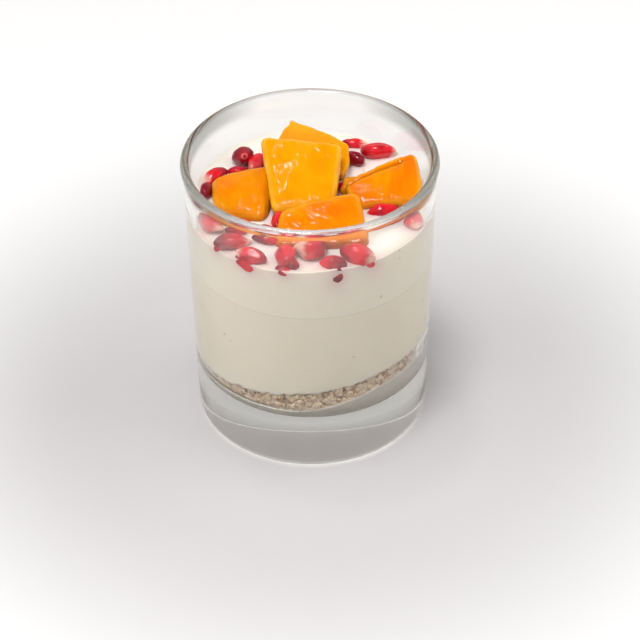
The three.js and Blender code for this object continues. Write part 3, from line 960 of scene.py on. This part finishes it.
def peach_body(name, form, settings):
    """A rounded block of flesh with fibres, and its own coordinates for the finish."""
    a, b, c, d = (np.array(corner, float) * MM for corner in form["near"] + form["far"])
    thickness, crown, edge = (form[key] * MM for key in ("thickness", "crown", "edge"))
    wide = (b + c - a - d) / 4
    deep = (c + d - a - b) / 4
    up = np.cross(wide, deep)
    up /= np.linalg.norm(up)
    middle = (a + b + c + d) / 4
    sizes = np.array([np.linalg.norm(wide), np.linalg.norm(deep), thickness / 2])
    rounding = np.minimum(1.0, edge / sizes)
    cube, faces = cube_grid(PEACH_STEPS)
    rest = np.clip(cube, rounding - 1, 1 - rounding)
    out = (cube - rest) / rounding
    out /= np.maximum(1.0, np.linalg.norm(out, axis=1))[:, None]
    u, v, w = (rest + out * rounding).T
    across = u * (1 + form["bulge"] * (1 - v * v))
    along = v * (1 + form["bulge"] * (1 - u * u))
    near = a + (b - a) * ((across + 1) / 2)[:, None]
    far = d + (c - d) * ((across + 1) / 2)[:, None]
    places = near + (far - near) * ((along + 1) / 2)[:, None]
    depth = ((1 - w) / 2)[:, None]
    places = places + (middle - places) * depth * (1 - form["under"])
    places = places - up * thickness * depth
    hump = (crown * (1 - u * u) * (1 - v * v))[:, None] * (1 - depth)
    places = places + up * hump
    groove = np.exp(-(((v - form.get("groove", 2.0)) / 0.07) ** 2))
    groove = (groove * smooth_step(3 * (0.8 - u)))[:, None] * (w[:, None] > 0)
    places = places - up * groove * settings.groove
    torn = form.get("torn", 0) * MM * np.exp(-((u + 1) ** 2 + (v - 1) ** 2) / 0.012)
    places = places + (d - middle) / np.linalg.norm(d - middle) * (torn * (w > 0))[:, None]
    mesh = bpy.data.meshes.new(name)
    mesh.from_pydata([tuple(p) for p in places], [], faces)
    mesh.update()
    normals = np.array([n.vector for n in mesh.vertex_normals])
    own = np.stack([u * sizes[0], v * sizes[1], w * sizes[2]], axis=1)
    seed = Vector(middle) / MM
    relief = []
    for p in own / MM:
        lumps = noise.fractal(Vector((p[0] * 0.22, p[1] * 0.16, p[2] * 0.3)) + seed, 1.0, 2.0, 3)
        fibres = noise.noise(Vector((p[0] * 1.1, p[1] * 0.3, p[2] * 1.1)) + seed)
        relief.append(1.6 * lumps + 0.6 * fibres)
    places = places + normals * (np.array(relief) * settings.fibre)[:, None]
    set_coordinates(mesh, places)
    turn = np.array(Matrix.Rotation(math.radians(form["grain"]), 3, "Z"))
    set_attribute(mesh, "grain_place", own @ turn.T + middle)
    shade = [noise.noise(Vector(p / MM) * 0.12 + seed) for p in own]
    # painted light: the edges are made less orange
    painted_edge_light = np.maximum(np.abs(u), np.abs(v)) ** 6
    # orange depth: the piece's own tone with random variation, less at the edges as painted light
    # and more towards the underside as painted shade
    orange_tone_and_painted_light = form["deep"] + 0.5 * np.array(shade) - 0.2 * painted_edge_light + 0.3 * depth[:, 0]
    set_attribute(mesh, "deep", np.clip(orange_tone_and_painted_light, 0, 1))
    turned_down = np.sum(((cube - rest) / rounding) ** 2, axis=1) - 1
    patchy = np.array([noise.noise(Vector(p / MM) * 0.2 + 2 * seed) for p in own])
    # painted highlight on the rounded edges, patchy
    painted_edge_highlight = form["painted_edge_highlight"] * smooth_step(turned_down / 0.35) * (0.65 + 0.9 * patchy)
    set_attribute(mesh, "painted_edge_highlight", np.clip(painted_edge_highlight, 0, 1))
    # painted shade: darker towards the flanks and underside, and on some pieces towards the near
    # end
    painted_flank_shade = 0.85 * smooth_step((depth[:, 0] - 0.12) / 0.4)
    painted_near_end_shade = form.get("near_painted_shade", 0) * smooth_step((-v - 0.35) / 0.5)
    set_attribute(mesh, "shade", np.maximum(painted_flank_shade, painted_near_end_shade))
    # painted shade in the groove
    set_attribute(mesh, "painted_crease_shade", 0.7 * groove[:, 0])
    return mesh


# ---- arils

# Each aril in millimetres and degrees: the middle of its body, the heading of its pale
# tip from +X, its tilt (tip up), its length, and its girth beside the usual one.
ARILS = (
    ((-21.2, 19.1, 82.2), -80, 38, 8.8, 1.36),
    ((-16.8, 16.4, 81.8), -113, 8, 9.4, 0.95),
    ((-22.7, 12.9, 81.2), -176, 0, 7.4, 0.8),
    ((-30.0, 9.7, 81.1), -140, -4, 10, 0.9),
    ((-32.4, 2.6, 81.2), 75, 0, 7.6, 1),
    ((-29.8, -13.0, 80.8), -51, 4, 11.2, 1.08),
    ((-22.0, -15.0, 80.4), 24, 0, 8, 0.9),
    ((-22.8, -22.4, 80.4), 10, 0, 11, 0.92),
    ((-17.5, -29.6, 80.0), 156, 6, 10, 0.9),
    ((-13.0, -20.2, 81.0), -11, 0, 9, 1),
    ((-7.6, -30.0, 80.8), 89, 10, 9.5, 1.2),
    ((0.2, -27.2, 81.5), 179, 4, 10.7, 1.55),
    ((13.9, -30.2, 80.7), -22, -4, 11.2, 1.1),
    ((6.6, -33.4, 79.7), 170, 0, 8.2, 1.05),
    ((30.6, -12.6, 80.9), -78, -4, 9.6, 1.04),
    ((22.4, -6.9, 79.1), -165, 0, 10.4, 0.9),
    ((-6.0, -32.2, 79.3), 128, 0, 6.8, 1.05),
    ((21.8, 22.9, 81.4), 2, -2, 11.8, 0.86),
    ((14.2, 28.6, 80.3), -3, 0, 9, 0.72),
    ((14.1, 19.3, 81.2), 143, 4, 7.3, 1.1),
    ((10.8, 4.2, 80.8), -178, 0, 6, 1),
    ((-9.8, -14.0, 81.4), 84, 0, 9.2, 0.8),
)

# Sunk arils lie along the wall: where round the glass and how high they touch it, how
# deep they are pressed against it, their tilt and their length.
SUNK_ARILS = (
    (-121.4, 77.6, 0.85, -8, 9.6),
    (-102.7, 78.0, 0.3, -12, 5.6),
    (-77.2, 76.0, 0.7, 78, 7),
    (-138.7, 79.2, 0.3, 50, 6.4),
    (-61.4, 78.2, 0.35, -40, 7.2),
)

# Width and thickness by length, how much narrower the tip is, and the flats on the body.
ARIL_WIDTH = 0.62
ARIL_THICKNESS = 0.56
ARIL_TIP = 0.42
ARIL_FACETS = 7
ARIL_FACET_DEPTH = 0.16
FOOD_GAP = 0.3 * MM  # space left between food and glass in the solids
ARIL_PRESS = 0.45 * MM  # how far past it an aril at the glass is flattened

# How each aril is coloured, in the same order: where its dark end, partly painted shade,
# stops (0 none, 1 all of it), where its pale tip starts along it (above 1: none), and how
# clear its scar is.
ARIL_LOOKS = (
    (1.15, 1.3, 1), (0.0, 0.93, 0), (0.4, 0.95, 0.6), (0.35, 0.72, 0), (0.9, 1.1, 0),
    (0.5, 0.78, 0), (0.5, 0.9, 0), (0.5, 0.74, 0), (0.3, 0.76, 1), (0.7, 1.1, 0),
    (0.2, 0.74, 0), (0.4, 0.6, 0), (0.3, 0.78, 0), (0.6, 1.05, 0), (0.6, 0.8, 0),
    (0.15, 0.95, 0), (0.45, 1.1, 0), (0.15, 0.84, 0), (0.3, 0.7, 0), (0.85, 1.1, 0),
    (0.7, 1.1, 0), (0.2, 1.1, 0), (0.3, 1.1, 0), (0.6, 1.1, 0), (0.9, 1.2, 0),
    (0.5, 1.1, 0), (0.2, 0.9, 0),
)


def sequence(seed):
    """A repeatable random sequence between 0 and 1."""
    state = seed
    while True:
        state = (state * 1664525 + 1013904223) % 2**32
        yield state / 2**32


def against_wall(glass, entry):
    """The place of a sunk aril, whose flank touches the glass."""
    turn, height, press, tilt, size = entry
    r = inner_radius(glass, height * MM) / MM - FOOD_GAP / MM - ARIL_THICKNESS * size / 2 + press
    at = (r * math.cos(math.radians(turn)), r * math.sin(math.radians(turn)), height)
    return at, turn + 90, tilt, size, 1


def aril_body(name, entry, seed, settings):
    """A drop-shaped seed sac with soft flats; tells each point how far along it lies."""
    at, heading, tilt, size, girth = entry
    glass = settings.glass
    mesh = bpy.data.meshes.new(name)
    work = bmesh.new()
    bmesh.ops.create_icosphere(work, subdivisions=4, radius=1.0)
    work.to_mesh(mesh)
    work.free()
    random = sequence(seed)
    points = coordinates(mesh)
    points /= np.linalg.norm(points, axis=1)[:, None]
    start = points.copy()
    soft = 0.05
    for _ in range(ARIL_FACETS):
        flat = [next(random) - 0.5, 2 * (next(random) - 0.5), 2 * (next(random) - 0.5)]
        flat = np.array(flat) / np.linalg.norm(flat)
        over = points @ flat - (1 - ARIL_FACET_DEPTH)
        eased = np.where(over > -soft, (over + soft) ** 2 / (4 * soft), 0)
        over = np.where(over > soft, over, eased)
        points -= over[:, None] * flat
    wrinkle = np.array([noise.noise(Vector(p) * 2.3 + Vector((seed, 0, 0))) for p in start])
    points *= (1 + 0.035 * wrinkle)[:, None]
    narrow = 1 - ARIL_TIP * np.clip(points[:, 0], 0, None) ** 2
    points[:, 0] *= size / 2
    points[:, 1] *= narrow * ARIL_WIDTH * girth * size / 2
    points[:, 2] *= narrow * ARIL_THICKNESS * girth * size / 2
    spin = Matrix.Rotation(next(random) * math.pi, 3, "X")
    lean = Matrix.Rotation(-math.radians(tilt), 3, "Y")
    turn = Matrix.Rotation(math.radians(heading), 3, "Z")
    places = (points @ np.array(turn @ lean @ spin).T + np.array(at)) * MM
    r = np.hypot(places[:, 0], places[:, 1])
    reach = inner_radius(glass, places[:, 2]) - FOOD_GAP
    pressed = ARIL_PRESS * smooth_step((r - reach) / (ARIL_PRESS / 3))
    scale_out(places, (np.minimum(r, reach) + pressed) / r)
    set_coordinates(mesh, places)
    set_attribute(mesh, "own", start)
    for trait, value in zip(("dark_flesh_and_shade", "pale_from", "scar"), ARIL_LOOKS[seed - 1]):
        set_attribute(mesh, trait, np.full(len(start), value))
    return mesh


# ---- operators


class PARFAIT_OT_glass(bpy.types.Operator):
    """Turn the tumbler"""

    bl_idname = "parfait.glass"
    bl_label = "Glass"

    def execute(self, context):
        settings = context.scene.parfait.glass
        rings = turned(glass_profile(settings), settings.segments)
        mesh = mesh_from_rings("tumbler", rings)
        add_piece("tumbler", mesh, glass_material(settings), "glass")
        return {"FINISHED"}


class PARFAIT_OT_yogurt(bpy.types.Operator):
    """Pour the yogurt"""

    bl_idname = "parfait.yogurt"
    bl_label = "Yogurt"

    def execute(self, context):
        settings = context.scene.parfait
        mesh = yogurt_body(settings)
        add_piece("yogurt_body", mesh, yogurt_material(settings.yogurt), "yogurt")
        return {"FINISHED"}


class PARFAIT_OT_oats(bpy.types.Operator):
    """Lay the bed of oats: its core and the flakes that show"""

    bl_idname = "parfait.oats"
    bl_label = "Oats"

    def execute(self, context):
        settings = context.scene.parfait
        material = oats_material(settings.oats)
        add_piece("oat_core", oat_core(settings), material, "oats")
        add_piece("oat_flakes", oat_flakes(settings), material, "oats")
        return {"FINISHED"}


class PARFAIT_OT_peach(bpy.types.Operator):
    """Lay the pieces of peach"""

    bl_idname = "parfait.peach"
    bl_label = "Peach"

    def execute(self, context):
        settings = context.scene.parfait.peach
        material = peach_material(settings)
        for node, form in PEACH_FORMS.items():
            piece = node.replace("peach", "flesh")
            add_piece(piece, peach_body(piece, form, settings), material, node)
        return {"FINISHED"}


class PARFAIT_OT_arils(bpy.types.Operator):
    """Scatter the pomegranate arils"""

    bl_idname = "parfait.arils"
    bl_label = "Arils"

    def execute(self, context):
        settings = context.scene.parfait
        material = aril_material(settings.aril)
        entries = ARILS + tuple(against_wall(settings.glass, entry) for entry in SUNK_ARILS)
        for i, entry in enumerate(entries, 1):
            piece = f"sac_{i:02d}"
            mesh = aril_body(piece, entry, i, settings)
            add_piece(piece, mesh, material, f"aril_{i:02d}")
        return {"FINISHED"}


# Square softboxes in metres: place, side, power in watts, and whether glass shows them.
SOFTBOXES = {
    "softbox_top": ((-0.12, -0.28, 0.98), 0.26, 5.0, True),
    "softbox_left": ((-0.8, -0.3, 0.65), 1.0, 4.1, False),
    "softbox_right": ((0.8, 0.0, 0.6), 0.9, 4.4, False),
    "window": ((-0.17, 0.19, 1.03), 0.1, 0.75, True),
}
LIT_POINT = Vector((0.0, 0.0, 0.06))

# The studio's brightness by the height of the direction: 0 level, 1 straight up.
STUDIO = (
    (0.0, (0.46, 0.46, 0.45)),
    (0.48, (0.47, 0.47, 0.46)),
    (0.62, (0.63, 0.63, 0.62)),
    (0.74, (0.44, 0.44, 0.435)),
    (0.88, (0.1, 0.1, 0.1)),
)


def floor_material(settings):
    """Matt pale floor: grey round the glass and lighter further off, with painted light under the
    glass.
    """
    nodes = Material("pale_floor")
    place = nodes.place()
    away = nodes.add("VectorMath", {"operation": "LENGTH"}, {0: place}).outputs["Value"]
    reach = {"Value": away, "From Min": 0.07, "From Max": 0.19}
    far = nodes.add("MapRange", {"interpolation_type": "SMOOTHSTEP"}, reach).outputs["Result"]
    tint = nodes.mix(far, settings.floor_tint, settings.floor_far)
    # painted light under the glass
    painted_light_under_glass = nodes.remap(away, 0.034, 0.037, 1.0, 0.0)
    tint = nodes.mix(painted_light_under_glass, tint, settings.floor_painted_light)
    grain = nodes.remap(nodes.noise(place, 60.0, 3.0), 0.0, 1.0, 0.985, 1.0)
    grain_tint = nodes.add("CombineColor", None, {0: grain, 1: grain, 2: grain})
    tint = nodes.mix(1.0, tint, grain_tint.outputs["Color"], "MULTIPLY")
    return nodes.principled({"Base Color": tint, "Roughness": 0.6})


def add_floor(scene, settings):
    """A wide floor just under the foot."""
    half = 4.0
    corners = [(x * half, y * half, 0) for x, y in ((-1, -1), (1, -1), (1, 1), (-1, 1))]
    mesh = bpy.data.meshes.new("floor")
    mesh.from_pydata(corners, [], [(0, 1, 2, 3)])
    mesh.materials.append(floor_material(settings))
    floor = bpy.data.objects.new("floor", mesh)
    floor.location.z = -0.05 * MM
    scene.collection.objects.link(floor)


def add_softbox(scene, name, at, side, power, shown):
    """A square light that faces the parfait."""
    light = bpy.data.lights.new(name, "AREA")
    light.shape = "RECTANGLE"
    light.size = light.size_y = side
    light.energy = power
    lamp = bpy.data.objects.new(name, light)
    lamp.location = at
    lamp.rotation_euler = (LIT_POINT - Vector(at)).to_track_quat("-Z", "Y").to_euler()
    lamp.visible_transmission = shown
    lamp.visible_glossy = shown
    scene.collection.objects.link(lamp)


def add_camera(scene, settings):
    """The camera at the photo's place and angle."""
    camera = bpy.data.cameras.new("camera")
    camera.lens = settings.lens
    camera.sensor_width = 36.0
    camera.clip_start = 0.05
    seat = bpy.data.objects.new("camera", camera)
    tilt = Matrix.Rotation(math.pi / 2 - settings.camera_pitch, 4, "X")
    lean = Matrix.Rotation(settings.camera_roll, 4, "Z")
    seat.matrix_world = Matrix.Translation(settings.camera_at) @ tilt @ lean
    scene.collection.objects.link(seat)
    scene.camera = seat


class PARFAIT_OT_stage(bpy.types.Operator):
    """Set up the floor, the lights and the camera"""

    bl_idname = "parfait.stage"
    bl_label = "Stage"

    def execute(self, context):
        scene = context.scene
        settings = scene.parfait.stage
        add_floor(scene, settings)
        for name, (at, side, power, shown) in SOFTBOXES.items():
            add_softbox(scene, name, at, side, power, shown)
        world = bpy.data.worlds.new("studio")
        world.use_nodes = True
        nodes = Nodes(world.node_tree)
        height = nodes.split(nodes.add("TexCoord").outputs["Generated"])["Z"]
        background = world.node_tree.nodes["Background"]
        world.node_tree.links.new(nodes.ramp(height, STUDIO), background.inputs["Color"])
        background.inputs["Strength"].default_value = 1.0
        scene.world = world
        scene.view_settings.view_transform = "Standard"
        add_camera(scene, settings)
        return {"FINISHED"}


class PARFAIT_PT_sidebar(bpy.types.Panel):
    """The parfait's pieces, one button each"""

    bl_idname = "PARFAIT_PT_sidebar"
    bl_label = "Yogurt Parfait"
    bl_space_type = "VIEW_3D"
    bl_region_type = "UI"
    bl_category = "Parfait"

    def draw(self, context):
        for operator in OPERATORS:
            self.layout.operator(operator.bl_idname)


OPERATORS = (
    PARFAIT_OT_glass,
    PARFAIT_OT_yogurt,
    PARFAIT_OT_oats,
    PARFAIT_OT_peach,
    PARFAIT_OT_arils,
    PARFAIT_OT_stage,
)
CLASSES = (
    ParfaitGlassSettings,
    ParfaitYogurtSettings,
    ParfaitOatsSettings,
    ParfaitPeachSettings,
    ParfaitArilSettings,
    ParfaitStageSettings,
    ParfaitSettings,
    *OPERATORS,
    PARFAIT_PT_sidebar,
)


def register():
    for cls in CLASSES:
        bpy.utils.register_class(cls)
    bpy.types.Scene.parfait = PointerProperty(type=ParfaitSettings)


def unregister():
    del bpy.types.Scene.parfait
    for cls in reversed(CLASSES):
        bpy.utils.unregister_class(cls)


def main():
    register()
    bpy.ops.parfait.glass()
    bpy.ops.parfait.yogurt()
    bpy.ops.parfait.oats()
    bpy.ops.parfait.peach()
    bpy.ops.parfait.arils()
    bpy.ops.parfait.stage()


if __name__ == "__main__":
    main()
